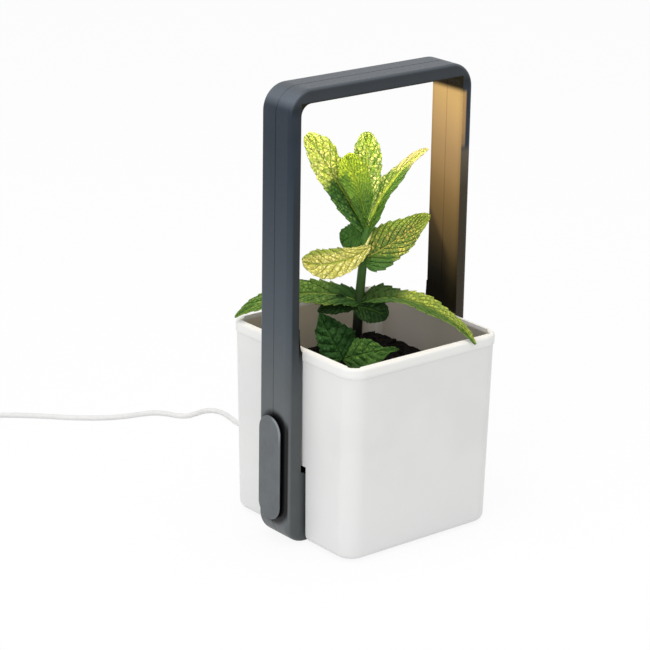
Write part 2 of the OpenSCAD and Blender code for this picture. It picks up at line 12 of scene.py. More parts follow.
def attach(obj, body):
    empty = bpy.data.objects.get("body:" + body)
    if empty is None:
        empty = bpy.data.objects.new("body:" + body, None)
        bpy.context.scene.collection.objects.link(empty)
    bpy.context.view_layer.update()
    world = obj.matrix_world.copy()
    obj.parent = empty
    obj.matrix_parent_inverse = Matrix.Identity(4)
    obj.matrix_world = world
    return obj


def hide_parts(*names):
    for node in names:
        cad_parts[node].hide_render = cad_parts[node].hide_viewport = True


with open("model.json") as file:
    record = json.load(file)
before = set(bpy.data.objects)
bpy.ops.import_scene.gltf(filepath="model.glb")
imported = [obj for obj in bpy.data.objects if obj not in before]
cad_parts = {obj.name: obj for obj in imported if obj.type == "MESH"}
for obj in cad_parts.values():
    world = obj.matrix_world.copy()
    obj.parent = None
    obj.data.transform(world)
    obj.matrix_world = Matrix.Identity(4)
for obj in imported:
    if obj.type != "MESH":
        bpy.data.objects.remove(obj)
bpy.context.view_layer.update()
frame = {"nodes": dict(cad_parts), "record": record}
MM = 0.001


# ---------- camera, floor and lights ----------

def add_object(name, data):
    """A new object in the scene's own collection."""
    piece = bpy.data.objects.new(name, data)
    bpy.context.scene.collection.objects.link(piece)
    return piece


def place_camera():
    """A long lens from the front left, a little above the hoop, turned slightly about its own axis."""
    azimuth, elevation, roll = map(math.radians, (-38.91, 19.06, 0.90))
    back = Vector((math.sin(azimuth) * math.cos(elevation),
                   -math.cos(azimuth) * math.cos(elevation), math.sin(elevation)))
    level = Vector((math.cos(azimuth), math.sin(azimuth), 0))
    rise = back.cross(level)
    right = level * math.cos(roll) + rise * math.sin(roll)
    up = rise * math.cos(roll) - level * math.sin(roll)
    camera = add_object("camera", bpy.data.cameras.new("camera"))
    camera.data.lens = 137.70
    camera.data.sensor_width = 36
    camera.location = (-0.9435, -1.1294, 0.6361)
    camera.rotation_mode = "QUATERNION"
    camera.rotation_quaternion = Matrix((right, up, back)).transposed().to_quaternion()
    bpy.context.scene.camera = camera
    bpy.context.scene.view_settings.view_transform = "Standard"


def seen_ray(nodes, links):
    """1 for rays that see the backdrop straight, in a gloss or through something clear."""
    rays = nodes.new("ShaderNodeLightPath").outputs
    seen = rays["Is Camera Ray"]
    for kind in ("Is Glossy Ray", "Is Transmission Ray"):
        either = nodes.new("ShaderNodeMath")
        either.operation = "MAXIMUM"
        links.new(seen, either.inputs[0])
        links.new(rays[kind], either.inputs[1])
        seen = either.outputs[0]
    return seen


def mix_shaders(nodes, links, share, first, second, surface):
    mix = nodes.new("ShaderNodeMixShader")
    for source, socket in zip((share, first, second), mix.inputs):
        links.new(source, socket)
    links.new(mix.outputs[0], surface)


def light_world(strength):
    """Even light of a strength all round, and plain white where the backdrop itself is seen."""
    world = bpy.data.worlds.new("studio")
    bpy.context.scene.world = world
    world.use_nodes = True
    nodes, links = world.node_tree.nodes, world.node_tree.links
    soft, white = nodes["Background"], nodes.new("ShaderNodeBackground")
    for background, power in ((soft, strength), (white, 1)):
        background.inputs["Color"].default_value = (1, 1, 1, 1)
        background.inputs["Strength"].default_value = power
    mix_shaders(nodes, links, seen_ray(nodes, links), soft.outputs[0], white.outputs[0],
                nodes["World Output"].inputs["Surface"])


def lay_floor(width=8, grey=0.88, white_share=0.9):
    """Matt worktop that is nearly white where it is seen and keeps the object's shadow."""
    bpy.ops.mesh.primitive_plane_add(size=width, location=(0, 0, 0))
    floor = bpy.context.object
    floor.name = "floor"
    material = bpy.data.materials.new("white worktop")
    material.use_nodes = True
    nodes, links = material.node_tree.nodes, material.node_tree.links
    nodes.remove(nodes["Principled BSDF"])
    matte, glow = nodes.new("ShaderNodeBsdfDiffuse"), nodes.new("ShaderNodeEmission")
    matte.inputs["Color"].default_value = (grey, grey, grey, 1)
    glow.inputs["Strength"].default_value = 1
    share = nodes.new("ShaderNodeMath")
    share.operation = "MULTIPLY"
    share.inputs[1].default_value = white_share
    links.new(seen_ray(nodes, links), share.inputs[0])
    mix_shaders(nodes, links, share.outputs[0], matte.outputs[0], glow.outputs[0],
                nodes["Material Output"].inputs["Surface"])
    floor.data.materials.append(material)


def softbox(name, place, aim, size, power, colour=(1, 1, 1)):
    """Even rectangular lamp of a size in metres, turned to its aim."""
    lamp = bpy.data.lights.new(name, "AREA")
    lamp.shape = "RECTANGLE"
    lamp.size, lamp.size_y = size
    lamp.energy = power
    lamp.color = colour
    box = add_object(name, lamp)
    box.location = place
    box.rotation_mode = "QUATERNION"
    box.rotation_quaternion = (Vector(aim) - Vector(place)).to_track_quat("-Z", "Y")


# ---------- materials ----------

def srgb(code):
    """Linear colour of a six-digit code."""
    parts = [int(code[i:i + 2], 16) / 255 for i in (0, 2, 4)]
    return tuple(p / 12.92 if p <= 0.04045 else ((p + 0.055) / 1.055) ** 2.4 for p in parts)


class Finish:
    """A material and the few node steps that the finishes here are made of."""

    def __init__(self, name, code, roughness, metal=0):
        self.material = bpy.data.materials.new(name)
        self.material.use_nodes = True
        self.nodes = self.material.node_tree.nodes
        self.links = self.material.node_tree.links
        self.shader = self.nodes["Principled BSDF"]
        self.put("Base Color", (*srgb(code), 1))
        self.put("Roughness", roughness)
        self.put("Metallic", metal)
        self.place = self.nodes.new("ShaderNodeTexCoord").outputs["Object"]

    def join(self, source, socket):
        if hasattr(source, "links"):
            self.links.new(source, socket)
        else:
            socket.default_value = source

    def math(self, operation, *sources):
        step = self.nodes.new("ShaderNodeMath")
        step.operation = operation
        for source, socket in zip(sources, step.inputs):
            self.join(source, socket)
        return step.outputs[0]

    def times(self, first, *others):
        for other in others:
            first = self.math("MULTIPLY", first, other)
        return first

    def plus(self, first, *others):
        for other in others:
            first = self.math("ADD", first, other)
        return first

    def minus(self, first, second):
        return self.math("SUBTRACT", first, second)

    def most(self, first, second):
        return self.math("MAXIMUM", first, second)

    def size(self, value):
        """The value without its sign."""
        return self.math("ABSOLUTE", value)

    def past(self, value, limit):
        """How far value is past limit, and 0 before it."""
        return self.most(self.minus(value, limit), 0)

    def diagonal(self, first, second):
        return self.math("SQRT", self.plus(self.math("POWER", first, 2), self.math("POWER", second, 2)))

    def ramp(self, value, low, high, start=0.0, end=1.0):
        """Smooth step of value: start below low, end above high."""
        step = self.nodes.new("ShaderNodeMapRange")
        step.interpolation_type = "SMOOTHSTEP"
        for source, socket in zip((value, low, high, start, end), step.inputs):
            self.join(source, socket)
        return step.outputs[0]

    def stops(self, value, low, high, colours):
        """Colour along value, from low to high, through the given (value, linear colour) stops."""
        step = self.nodes.new("ShaderNodeValToRGB")
        self.links.new(self.math("DIVIDE", self.minus(value, low), high - low), step.inputs[0])
        line = step.color_ramp.elements
        for index, (at, colour) in enumerate(colours):
            stop = line[index] if index < 2 else line.new(1)
            stop.position = (at - low) / (high - low)
            stop.color = (*colour, 1)
        return step.outputs[0]

    def axes(self, vector):
        step = self.nodes.new("ShaderNodeSeparateXYZ")
        self.links.new(vector, step.inputs[0])
        return step.outputs

    def grain(self, scale, detail=2, vector=None):
        step = self.nodes.new("ShaderNodeTexNoise")
        step.inputs["Scale"].default_value = scale
        step.inputs["Detail"].default_value = detail
        self.links.new(vector or self.place, step.inputs["Vector"])
        return step.outputs["Fac"]

    def blend(self, share, first, second):
        """Colour that goes from first to second as share goes from 0 to 1; each a step, a code or linear."""
        step = self.nodes.new("ShaderNodeMix")
        step.data_type = "RGBA"
        self.join(share, step.inputs[0])
        for colour, socket in zip((first, second), step.inputs[6:8]):
            colour = srgb(colour) if isinstance(colour, str) else colour
            self.join((*colour, 1) if isinstance(colour, tuple) else colour, socket)
        return step.outputs[2]

    def put(self, socket, source):
        """Gives a socket of the shader a value or the result of a step."""
        self.join(source, self.shader.inputs[socket])

    def bump(self, height, distance, strength=1.0):
        step = self.nodes.new("ShaderNodeBump")
        step.inputs["Strength"].default_value = strength
        step.inputs["Distance"].default_value = distance
        self.links.new(height, step.inputs["Height"])
        self.links.new(step.outputs[0], self.shader.inputs["Normal"])


def moulded(name, code, roughness, texture=0.02, scale=2500, metal=0, patchy=0.05):
    """Moulded or plain stock: a faint unevenness of colour, a fine grain in its gloss and surface."""
    finish, colour = Finish(name, code, roughness, metal), srgb(code)
    patches = finish.grain(90, 3)
    lighter = tuple(min(1, c * (1 + patchy) + 0.004) for c in colour)
    darker = tuple(c * (1 - patchy) for c in colour)
    finish.put("Base Color", finish.blend(finish.ramp(patches, 0.35, 0.65), darker, lighter))
    gloss = finish.grain(scale / 6)
    finish.put("Roughness", finish.ramp(gloss, 0.3, 0.7, roughness - 0.04, roughness + 0.05))
    finish.bump(finish.grain(scale), texture * MM)
    return finish


# the button's pad in mm, by the height of its middle, its width and its height, and the colour of its shadow
PAD_Z, PAD_WIDTH, PAD_HEIGHT = 50, 21, 68.5
PAD_SHADOW = (0.002, 0.002, 0.003)


def from_pad(finish, y, z):
    """Distance from the upright middle line of the button's pad, in metres."""
    beyond = finish.past(finish.size(finish.minus(z, PAD_Z * MM)), (PAD_HEIGHT - PAD_WIDTH) / 2 * MM)
    return finish.diagonal(beyond, y)


# linear colours of the hoop by height in metres: its faces, with a painted reflection of the worktop low down and a
# painted highlight round the top corners; the painted warm lamp light on the dull band and the bright lip on the front
# of the leg with the cord; the painted shade on its inside; and the painted glow of the lamp's light there
SLATE_FACES_PAINTED_LIGHT = [(0.045, (0.122, 0.132, 0.137)), (0.095, (0.103, 0.113, 0.118)), (0.140, (0.064, 0.080, 0.095)),
               (0.183, (0.040, 0.053, 0.068)), (0.222, (0.022, 0.034, 0.050)), (0.262, (0.013, 0.022, 0.036)),
               (0.2785, (0.017, 0.026, 0.040)), (0.2835, (0.105, 0.124, 0.150)),
               (0.287, (0.095, 0.112, 0.134)), (0.290, (0.059, 0.070, 0.084))]
SLATE_STRIP_PAINTED_LAMP_LIGHT = [(0.135, (0.042, 0.032, 0.018)), (0.165, (0.044, 0.034, 0.020)), (0.185, (0.048, 0.037, 0.022)),
               (0.210, (0.054, 0.042, 0.026)), (0.235, (0.125, 0.104, 0.074))]
SLATE_LIP_PAINTED_LAMP_LIGHT = [(0.236, (0.19, 0.13, 0.075)), (0.242, (0.25, 0.16, 0.07)), (0.250, (0.36, 0.21, 0.085)),
             (0.266, (0.43, 0.25, 0.092))]
SLATE_INSIDE_PAINTED_SHADE = [(0.15, (0.003, 0.003, 0.002)), (0.25, (0.03, 0.026, 0.02)), (0.275, (0.02, 0.016, 0.008))]
PAINTED_LAMP_GLOW = [(0.138, (0.004, 0.003, 0.001)), (0.150, (0.012, 0.009, 0.004)), (0.162, (0.040, 0.026, 0.008)),
             (0.176, (0.105, 0.064, 0.021)), (0.192, (0.165, 0.098, 0.030)), (0.206, (0.235, 0.137, 0.044)),
             (0.220, (0.330, 0.198, 0.072)), (0.234, (0.405, 0.241, 0.094)), (0.250, (0.520, 0.318, 0.122)),
             (0.268, (0.660, 0.418, 0.152))]


def slate_plastic():
    """Satin slate with painted light and shade: bluish up in the hoop, lighter and greyer towards its feet as a
    painted reflection of the worktop, a painted highlight round its top corners, painted shade on its front faces, and
    the lamp's warm light painted on its inside as colour and glow.
    """
    finish = Finish("satin slate", "444b55", 0.42)
    ramp, times, blend, stops = finish.ramp, finish.times, finish.blend, finish.stops
    x, y, z = finish.axes(finish.place)
    wide, deep = finish.size(x), finish.size(y)
    patches = ramp(finish.grain(60, 3), 0.3, 0.7)
    # the faces by height, with painted light: a painted reflection of the worktop low down and a painted highlight
    # round the top corners
    cast = blend(times(patches, 0.12), stops(z, 0, 0.3, SLATE_FACES_PAINTED_LIGHT), (0.05, 0.055, 0.06))

    # painted shade on the front and back faces, to make them darker than the outsides, most on the top bar's front
    inward = finish.most(ramp(wide, 0.0696, 0.0680), ramp(z, 0.270, 0.282))
    faces = times(ramp(deep, 0.0128, 0.0142), inward)
    painted_shade_dip = times(ramp(z, 0.105, 0.135), ramp(z, 0.20, 0.26, 1, 0))
    high = finish.minus(times(ramp(z, 0.272, 0.280), 0.58), times(ramp(z, 0.225, 0.25), 0.14))
    cast = blend(times(faces, finish.plus(high, 0.28, times(painted_shade_dip, 0.32))), cast, (0.004, 0.006, 0.006))

    # painted warm lamp light: dim in a dull band down the front of the leg with the cord, and higher up bright on the
    # lip beside it
    front = times(ramp(y, -0.0125, -0.0138), ramp(x, 0.0628, 0.0634))
    painted_lamp_strip = times(front, ramp(z, 0.238, 0.232, 0, 1))
    cast = blend(times(painted_lamp_strip, 0.85), cast, stops(z, 0.12, 0.25, SLATE_STRIP_PAINTED_LAMP_LIGHT))
    lip = times(front, ramp(x, 0.0670, 0.0658), ramp(z, 0.234, 0.239), ramp(z, 0.2735, 0.2700))
    cast = blend(lip, cast, stops(z, 0.23, 0.27, SLATE_LIP_PAINTED_LAMP_LIGHT))

    # the shadow that the button's pad throws on the leg
    near_pad = ramp(from_pad(finish, finish.plus(y, 0.0018), z), 0.0116, 0.0156, 1, 0)
    cast = blend(times(near_pad, ramp(x, -0.0700, -0.0708), 0.97), cast, PAD_SHADOW)

    # the inside of the hoop: painted shade, and the lamp's light painted on as a glow down to where the planter's rim
    # and leaves shade it
    inside = times(ramp(wide, 0.0637, 0.0632), ramp(z, 0.2822, 0.2817), ramp(z, 0.118, 0.130))
    finish.put("Base Color", blend(inside, cast, stops(z, 0.12, 0.28, SLATE_INSIDE_PAINTED_SHADE)))
    finish.put("Emission Color", stops(finish.minus(z, times(y, 0.45)), 0.12, 0.28, PAINTED_LAMP_GLOW))
    # less painted glow in the parting groove and towards the edges, and a painted shadow of the leaves cut across its
    # lower part on a slant
    parting = ramp(deep, 0.0001, 0.0006, 0.72, 1)
    edge = ramp(deep, 0.0105, 0.0143, 1, 0.84)
    painted_leaf_shadow = times(ramp(finish.minus(z, times(y, 1.5)), 0.177, 0.167), ramp(y, -0.009, -0.001))
    painted_glow = times(inside, ramp(z, 0.2745, 0.2700), parting, edge, finish.minus(1, times(painted_leaf_shadow, 0.55)))
    finish.put("Emission Strength", painted_glow)

    dull = finish.plus(times(inside, 0.19), times(painted_lamp_strip, 0.14))
    finish.put("Specular IOR Level", finish.minus(0.22, dull))
    finish.put("Roughness", ramp(finish.grain(500), 0.3, 0.7, 0.38, 0.46))
    finish.bump(finish.grain(3200), 0.012 * MM)
    return finish.material


def pot_plastic():
    """Glossy white moulding with a very slight waviness, painted light low down and round the rim, dull with painted
    shade in warm grey inside, and painted shadow in its cut-outs.
    """
    finish = Finish("glossy white", "d6d6d4", 0.3)
    ramp, times, blend = finish.ramp, finish.times, finish.blend
    x, y, z = finish.axes(finish.place)
    deep = finish.size(y)
    patches = ramp(finish.grain(25), 0.35, 0.65)
    white = blend(patches, "d9dad9", "dddddc")
    # painted light: lighter low down, as from the white worktop, and lighter still round the rim
    white = blend(ramp(z, 0.075, 0.02), white, "dedfde")
    white = blend(ramp(z, 0.121, 0.124), white, "e3e3e1")

    # painted shade in warm grey on the inner walls, less of it towards the back of the right one, on the back one and
    # round the corner between them
    over_x, over_y = finish.past(finish.size(x), 0.0468), finish.past(deep, 0.0478)
    inside = times(ramp(finish.diagonal(over_x, over_y), 0.0116, 0.0111), ramp(z, 0.1268, 0.1248),
                   ramp(z, 0.060, 0.066))
    near = times(ramp(x, 0.045, 0.054), ramp(y, -0.01, 0.04))
    painted_wall_shade = blend(ramp(y, 0.050, 0.0555), blend(near, "9a968d", "bcb5af"), "c6bdaf")
    turn = times(ramp(finish.math("MINIMUM", over_x, over_y), 0.0004, 0.003), ramp(y, 0, 0.01), ramp(x, 0, 0.01))
    painted_wall_shade = blend(turn, painted_wall_shade, "cbc8c4")

    # painted shadow: nearly black in the cut-outs for the hoop's feet
    painted_notch_shadow = times(ramp(deep, 0.01700, 0.01685), ramp(z, 0.0520, 0.0518))
    finish.put("Base Color", blend(painted_notch_shadow, blend(inside, white, painted_wall_shade), (0.003, 0.003, 0.003)))
    gloss = ramp(finish.grain(400), 0.3, 0.7, 0.28, 0.34)
    finish.put("Roughness", finish.plus(gloss, times(inside, 0.4)))
    finish.put("Specular IOR Level", finish.minus(0.4, times(finish.most(inside, painted_notch_shadow), 0.36)))
    finish.bump(finish.grain(30, 1), 0.05 * MM, 0.4)
    return finish.material


def button_plastic():
    """Grey pad with a painted highlight on its front rim, and painted shadow on the flank that goes down to the leg.
    """
    finish = moulded("grey button", "5f6467", 0.5, 0.015, 3000)
    ramp, times = finish.ramp, finish.times
    x, y, z = finish.axes(finish.place)
    face = finish.blend(ramp(finish.grain(90, 3), 0.35, 0.65), "575c5f", "5c6164")
    # painted highlight on the rim of the pad's front
    rim = times(ramp(from_pad(finish, y, z), 0.0090, 0.0096), ramp(y, -0.001, -0.005),
                ramp(z, 0.066, 0.076, 0.15, 1))
    face = finish.blend(times(rim, 0.8), face, "868c90")
    # painted shadow on the flank down to the leg, where the gloss is also taken off
    finish.put("Base Color", finish.blend(ramp(x, -0.0743, -0.0739), face, PAD_SHADOW))
    finish.put("Specular IOR Level", ramp(x, -0.0743, -0.0739, 0.4, 0.02))
    return finish.material


def soil():
    """Nearly black crumbs with brown fibres, dull throughout."""
    finish = Finish("damp soil", "0b0a07", 0.95)
    lumps = finish.ramp(finish.grain(420, 4), 0.35, 0.7)
    fibre = finish.ramp(finish.grain(1500, 3), 0.55, 0.75)
    dark = finish.blend(lumps, "030202", "120e0a")
    finish.put("Base Color", finish.blend(finish.times(fibre, 0.3), dark, "2a2018"))
    finish.put("Specular IOR Level", 0.12)
    finish.bump(finish.grain(1100, 4), 0.5 * MM)
    return finish.material


def lamp_lens():
    """Frosted window that glows warmly."""
    finish = Finish("frosted lamp lens", "fff2dc", 0.5)
    patches = finish.ramp(finish.grain(700), 0.3, 0.7)
    finish.put("Base Color", finish.blend(patches, "fdeeda", "fff6e6"))
    finish.put("Emission Color", (1, 0.74, 0.36, 1))
    finish.put("Emission Strength", 2.5)
    return finish.material


def stem_skin():
    """Dark green, darkened towards the bottom by painted shade to nearly black where it comes out of the growing
    medium, with a fine grain.
    """
    finish = Finish("mint stem", "3c5226", 0.5)
    z = finish.axes(finish.place)[2]
    # painted shade: darker green lower down, nearly black near the growing medium
    green = finish.blend(finish.ramp(z, 0.13, 0.175), "2c401d", "47702f")
    finish.put("Base Color", finish.blend(finish.ramp(z, 0.117, 0.143), "050504", green))
    finish.put("Specular IOR Level", 0.25)
    finish.bump(finish.grain(900, 3), 0.15 * MM)
    return finish.material


def leaf_skin(name, length, width, look):
    """Crinkled leaf: pale cells in a darker net, side veins, midrib, and painted light and shade in zones of the
    blade.
    """
    finish = Finish(name, look["cell"], look["rough"])
    ramp, times, minus, blend = finish.ramp, finish.times, finish.minus, finish.blend
    uv = finish.nodes.new("ShaderNodeTexCoord").outputs["UV"]
    across, along, _ = finish.axes(uv)
    offset = minus(across, 0.5)
    margin = times(finish.size(offset), 2)

    # side veins, slanted and out of step on the two halves
    phase = times(minus(along, times(margin, look["skew"])), look["veins"])
    half_step = times(finish.math("GREATER_THAN", offset, 0), 0.5)
    wobble = times(minus(finish.grain(9, 2, uv), 0.5), 0.5)
    phase = finish.plus(phase, half_step, wobble)
    ridge = finish.size(minus(finish.math("FRACT", phase), 0.5))
    lateral = ramp(ridge, 0.5 - look["vein_width"], 0.5)

    # the net of small cells between them, cell_mm wide
    scaled = finish.nodes.new("ShaderNodeVectorMath")
    scaled.operation = "MULTIPLY"
    scaled.inputs[1].default_value = (width / look["cell_mm"], length / look["cell_mm"], 1)
    finish.links.new(uv, scaled.inputs[0])
    cells = finish.nodes.new("ShaderNodeTexVoronoi")
    cells.feature = "DISTANCE_TO_EDGE"
    cells.inputs["Scale"].default_value = 1
    cells.inputs["Randomness"].default_value = 0.75
    finish.links.new(scaled.outputs[0], cells.inputs["Vector"])
    edge = cells.outputs["Distance"]
    net = ramp(edge, 0.03, look["net_width"], 1, 0)

    rib = ramp(margin, *look["rib_width"], 1, 0)
    patches = ramp(finish.grain(5, 3, uv), 0.35, 0.68)
    body = blend(patches, look["cell"], look["patch"])
    body = blend(times(net, look["net"]), body, look["net_colour"])
    body = blend(times(lateral, look["vein"]), body, look["vein_colour"])
    # zones of painted light and painted shade
    for code, side, way, share, *own_net in look["zones"]:
        where = times(ramp(across, *side), share)
        if way:
            where = times(where, ramp(along, *way))
        net_share = own_net[0] if own_net else 0.45
        net_code = own_net[1] if own_net[1:] else look["net_colour"]
        body = blend(where, body, blend(times(net, net_share), code, net_code))
    finish.put("Base Color", blend(times(rib, 0.9), body, look["rib_colour"]))

    height = minus(times(ramp(edge, 0, 0.45), 0.8), finish.most(lateral, rib))
    height = times(height, ramp(along, look["calm"], look["calm"] - 0.3))
    finish.bump(height, look["relief"] * MM, 0.9)
    finish.put("Specular IOR Level", look["sheen"])
    finish.put("Roughness", ramp(finish.grain(40, 2, uv), 0.3, 0.7, look["rough"] - 0.06, look["rough"] + 0.08))
    return finish.material


# ---------- modelling steps ----------

def rest():
    """Back to object mode with nothing selected."""
    if bpy.context.object and bpy.context.object.mode != "OBJECT":
        bpy.ops.object.mode_set(mode="OBJECT")
    bpy.ops.object.select_all(action="DESELECT")


def begin(name):
    """Names the piece that was just made."""
    piece = bpy.context.object
    piece.name = piece.data.name = name
    return piece


def choose(piece):
    """Back to object mode with just this piece selected and active."""
    rest()
    bpy.context.view_layer.objects.active = piece
    piece.select_set(True)


def pick(piece, kind, test):
    """Edit mode with just the points, edges or faces for which test holds."""
    if piece.mode != "EDIT":
        bpy.ops.object.mode_set(mode="EDIT")
    bpy.ops.mesh.select_mode(type={"vertices": "VERT", "edges": "EDGE", "polygons": "FACE"}[kind])
    bpy.ops.mesh.select_all(action="DESELECT")
    bpy.ops.object.mode_set(mode="OBJECT")
    points = piece.data.vertices
    for part in getattr(piece.data, kind):
        if kind == "edges":
            part.select = test(points[part.vertices[0]].co / MM, points[part.vertices[1]].co / MM)
        elif kind == "polygons":
            part.select = test(part.center / MM, part.normal)
        else:
            part.select = test(part.co / MM)
    bpy.ops.object.mode_set(mode="EDIT")


def along(axis):
    """Test for edges that run along an axis."""
    return lambda a, b: abs((a - b)[axis]) > 0.9 * (a - b).length


def bevel(width, rounds):
    """Rounds the picked edges over a width in mm."""
    bpy.ops.mesh.bevel(offset=width * MM, segments=rounds, affect="EDGES")


def draw_out(x, y, z):
    """Draws the picked faces out by a way in metres."""
    bpy.ops.mesh.extrude_region_move(TRANSFORM_OT_translate={"value": (x, y, z)})


def resize(x, y, z, middle):
    """Resizes what is picked about a middle in mm."""
    bpy.ops.transform.resize(value=(x, y, z), center_override=tuple(c * MM for c in middle))


def face_outwards():
    """Turns every face of the piece in edit mode to the outside."""
    bpy.ops.mesh.select_all(action="SELECT")
    bpy.ops.mesh.normals_make_consistent(inside=False)


def block(name, low, high, corner=0, rounds=8, top=None):
    """Block from corner point low to high, in mm, its upright edges rounded, its top face resized to top."""
    rest()
    low, high = Vector(low), Vector(high)
    bpy.ops.mesh.primitive_cube_add(size=1, location=(low + high) / 2 * MM, scale=(high - low) * MM)
    piece = begin(name)
    bpy.ops.object.transform_apply()
    if top:
        pick(piece, "polygons", lambda c, n: n.z > 0.9)
        resize(top[0] / (high.x - low.x), top[1] / (high.y - low.y), 1, (0, 0, high.z))
    if corner:
        pick(piece, "edges", along(2))
        bevel(corner, rounds)
    rest()
    return piece


def rod(name, radius, length, middle, turn=(0, 0, 0), sides=64):
    """Round stock about a middle, in mm, along Z before its turn."""
    rest()
    bpy.ops.mesh.primitive_cylinder_add(vertices=sides, radius=radius * MM, depth=length * MM,
                                        location=tuple(c * MM for c in middle), rotation=turn)
    return begin(name)


def disc(name, radius, middle, turn, sides):
    """Flat disc to be drawn out, its radius and middle in mm."""
    rest()
    bpy.ops.mesh.primitive_circle_add(vertices=sides, radius=radius * MM, fill_type="NGON",
                                      location=tuple(c * MM for c in middle), rotation=turn)
    piece = begin(name)
    bpy.ops.object.transform_apply()
    return piece


def bend_through(name, points, radii, radius, rounds, steps):
    """Round stock bent through points in metres, as thick at each as its share of radius in radii."""
    curve = bpy.data.curves.new(name, "CURVE")
    curve.dimensions = "3D"
    curve.bevel_depth = radius
    curve.bevel_resolution = rounds
    curve.resolution_u = steps
    curve.use_fill_caps = True
    line = curve.splines.new("BEZIER")
    line.bezier_points.add(len(points) - 1)
    for knot, place, share in zip(line.bezier_points, points, radii):
        knot.co = place
        knot.radius = share
        knot.handle_left_type = knot.handle_right_type = "AUTO"
    return add_object(name, curve)


def use(piece, kind, **settings):
    """Adds a modifier and applies it."""
    choose(piece)
    step = piece.modifiers.new(kind.lower(), kind)
    for key, value in settings.items():
        setattr(step, key, value)
    bpy.ops.object.modifier_apply(modifier=step.name)


def cut(piece, tool, way="DIFFERENCE"):
    """Takes a tool piece away from a piece, or joins it on."""
    use(piece, "BOOLEAN", operation=way, object=tool, solver="EXACT")
    bpy.data.objects.remove(tool)


def settle(piece, body, material, angle=30, replaces=()):
    """Finishes a piece: shading, material, body and the nodes whose place it takes."""
    choose(piece)
    bpy.ops.object.transform_apply()
    if angle:
        bpy.ops.object.shade_smooth_by_angle(angle=math.radians(angle))
    piece.data.materials.clear()
    piece.data.materials.append(material)
    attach(piece, body)
    if replaces:
        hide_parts(*replaces)
    return piece


# ---------- planter ----------

def make_pot():
    """Tapered pot with a rim band, hollowed out, and cut out for the hoop's feet and bottom bar."""
    pot = block("white_pot", (-58.5, -59, 1.6), (58.5, 59, 121), 12, 12, top=(119.8, 122.8))
    pick(pot, "edges", lambda a, b: a.z < 1.7 and b.z < 1.7)
    bevel(4.5, 6)

    def raise_top(height, grow_x, grow_y):
        pick(pot, "polygons", lambda c, n: n.z > 0.99 and c.z > 20)
        draw_out(0, 0, height * MM - max(point.co.z for point in pot.data.vertices))
        resize(grow_x, grow_y, 1, (0, 0, height))

    raise_top(121.6, 121 / 119.8, 124 / 122.8)
    raise_top(128, 1, 1)
    pick(pot, "edges", lambda a, b: a.z > 127.9 and b.z > 127.9)
    bevel(2.2, 6)
    pick(pot, "polygons", lambda c, n: n.z > 0.99 and c.z > 127)
    bpy.ops.mesh.inset(thickness=2.2 * MM)
    for drop, width, depth in ((-113.2, 111.8 / 112.2, 112.8 / 115.2), (-3, 105.8 / 111.8, 106.8 / 112.8)):
        draw_out(0, 0, drop * MM)
        resize(width, depth, 1, (0, 0, 0))
    pick(pot, "edges", lambda a, b: min(a.z, b.z) > 127.9 and max(abs(a.x), abs(b.x)) < 56.3
         and max(abs(a.y), abs(b.y)) < 57.8)
    bevel(1.9, 5)

    # a pocket round each foot of the hoop, the foot's room in it, and the bottom bar's channel
    for name, near, far, depth, low, high, way in (("pocket", 53.7, 58, 19.2, 9.4, 54.1, "UNION"),
                                                   ("foot_cut", 56.1, 70, 16.8, -5, 51.7, "DIFFERENCE")):
        for side in (-1, 1):
            x = sorted((side * near, side * far))
            cut(pot, block(name, (x[0], -depth, low), (x[1], depth, high)), way)
    cut(pot, block("bar_channel", (-70, -16.8, -5), (70, 16.8, 9.4)))
    corner = block("corner_cut", (-70, -22.8, -5), (70, 22.8, 7.6))
    for side in (-1, 1):
        cut(corner, rod("corner_round", 6, 150, (0, side * 22.8, 7.6), (0, math.pi / 2, 0)))
    cut(pot, corner)

    # the hollow underside with a boss for each foot
    cut(pot, block("under_floor", (-53, -53.5, -5), (53, 53.5, 9.4), 7, 6))
    for x in (-44.5, 44.5):
        for y in (-45, 45):
            boss = rod("foot_boss", 6.5, 8, (x, y, 6), sides=32)
            pick(boss, "polygons", lambda c, n: n.z < -0.9)
            bpy.ops.mesh.inset(thickness=1.4 * MM)
            draw_out(0, 0, 0.6 * MM)
            cut(pot, boss, "UNION")
    settle(pot, "planter", pot_plastic(), 30, ["planter_pot"])


# the growing medium in mm: its flat top, and its mounds as middle, radius and height
SOIL_Z = 96.2
MOUNDS = ((10, 18, 27, 4.4), (-24, -14, 25, 3), (26, -22, 23, 2.4), (-22, 30, 21, 3.4))


def soil_height(x, y):
    """Height of the growing medium's top in mm, at x and y in mm."""
    z = SOIL_Z
    for middle_x, middle_y, radius, height in MOUNDS:
        out = math.hypot(x - middle_x, y - middle_y) / radius
        z = max(z, SOIL_Z + height * min(1, max(0, (1.05 - out) / 0.62)))
    spot = Vector((x, y, 3))
    return z + (0.3 + 1.3 * noise.noise(spot / 9) + 1.0 * noise.noise(spot / 3.6) + 0.8 * abs(noise.noise(spot / 1.7)))


def make_crust(finish, half_x=56.3, half_y=57.4, corner=9.0):
    """Uneven top of the growing medium, rounded at its corners as the pot is inside."""
    rest()
    bpy.ops.mesh.primitive_grid_add(x_subdivisions=130, y_subdivisions=132, size=1)
    crust = begin("soil_crust")
    for point in crust.data.vertices:
        x, y = point.co.x * 2 * half_x, point.co.y * 2 * half_y
        over = Vector((abs(x) - half_x + corner, abs(y) - half_y + corner))
        if over.x > 0 and over.y > 0 and over.length > corner:
            over *= corner / over.length
            x = math.copysign(half_x - corner + over.x, x)
            y = math.copysign(half_y - corner + over.y, y)
        point.co = Vector((x, y, soil_height(x, y))) * MM
    use(crust, "SOLIDIFY", thickness=2 * MM, offset=-1)
    settle(crust, "planter", finish, 60)


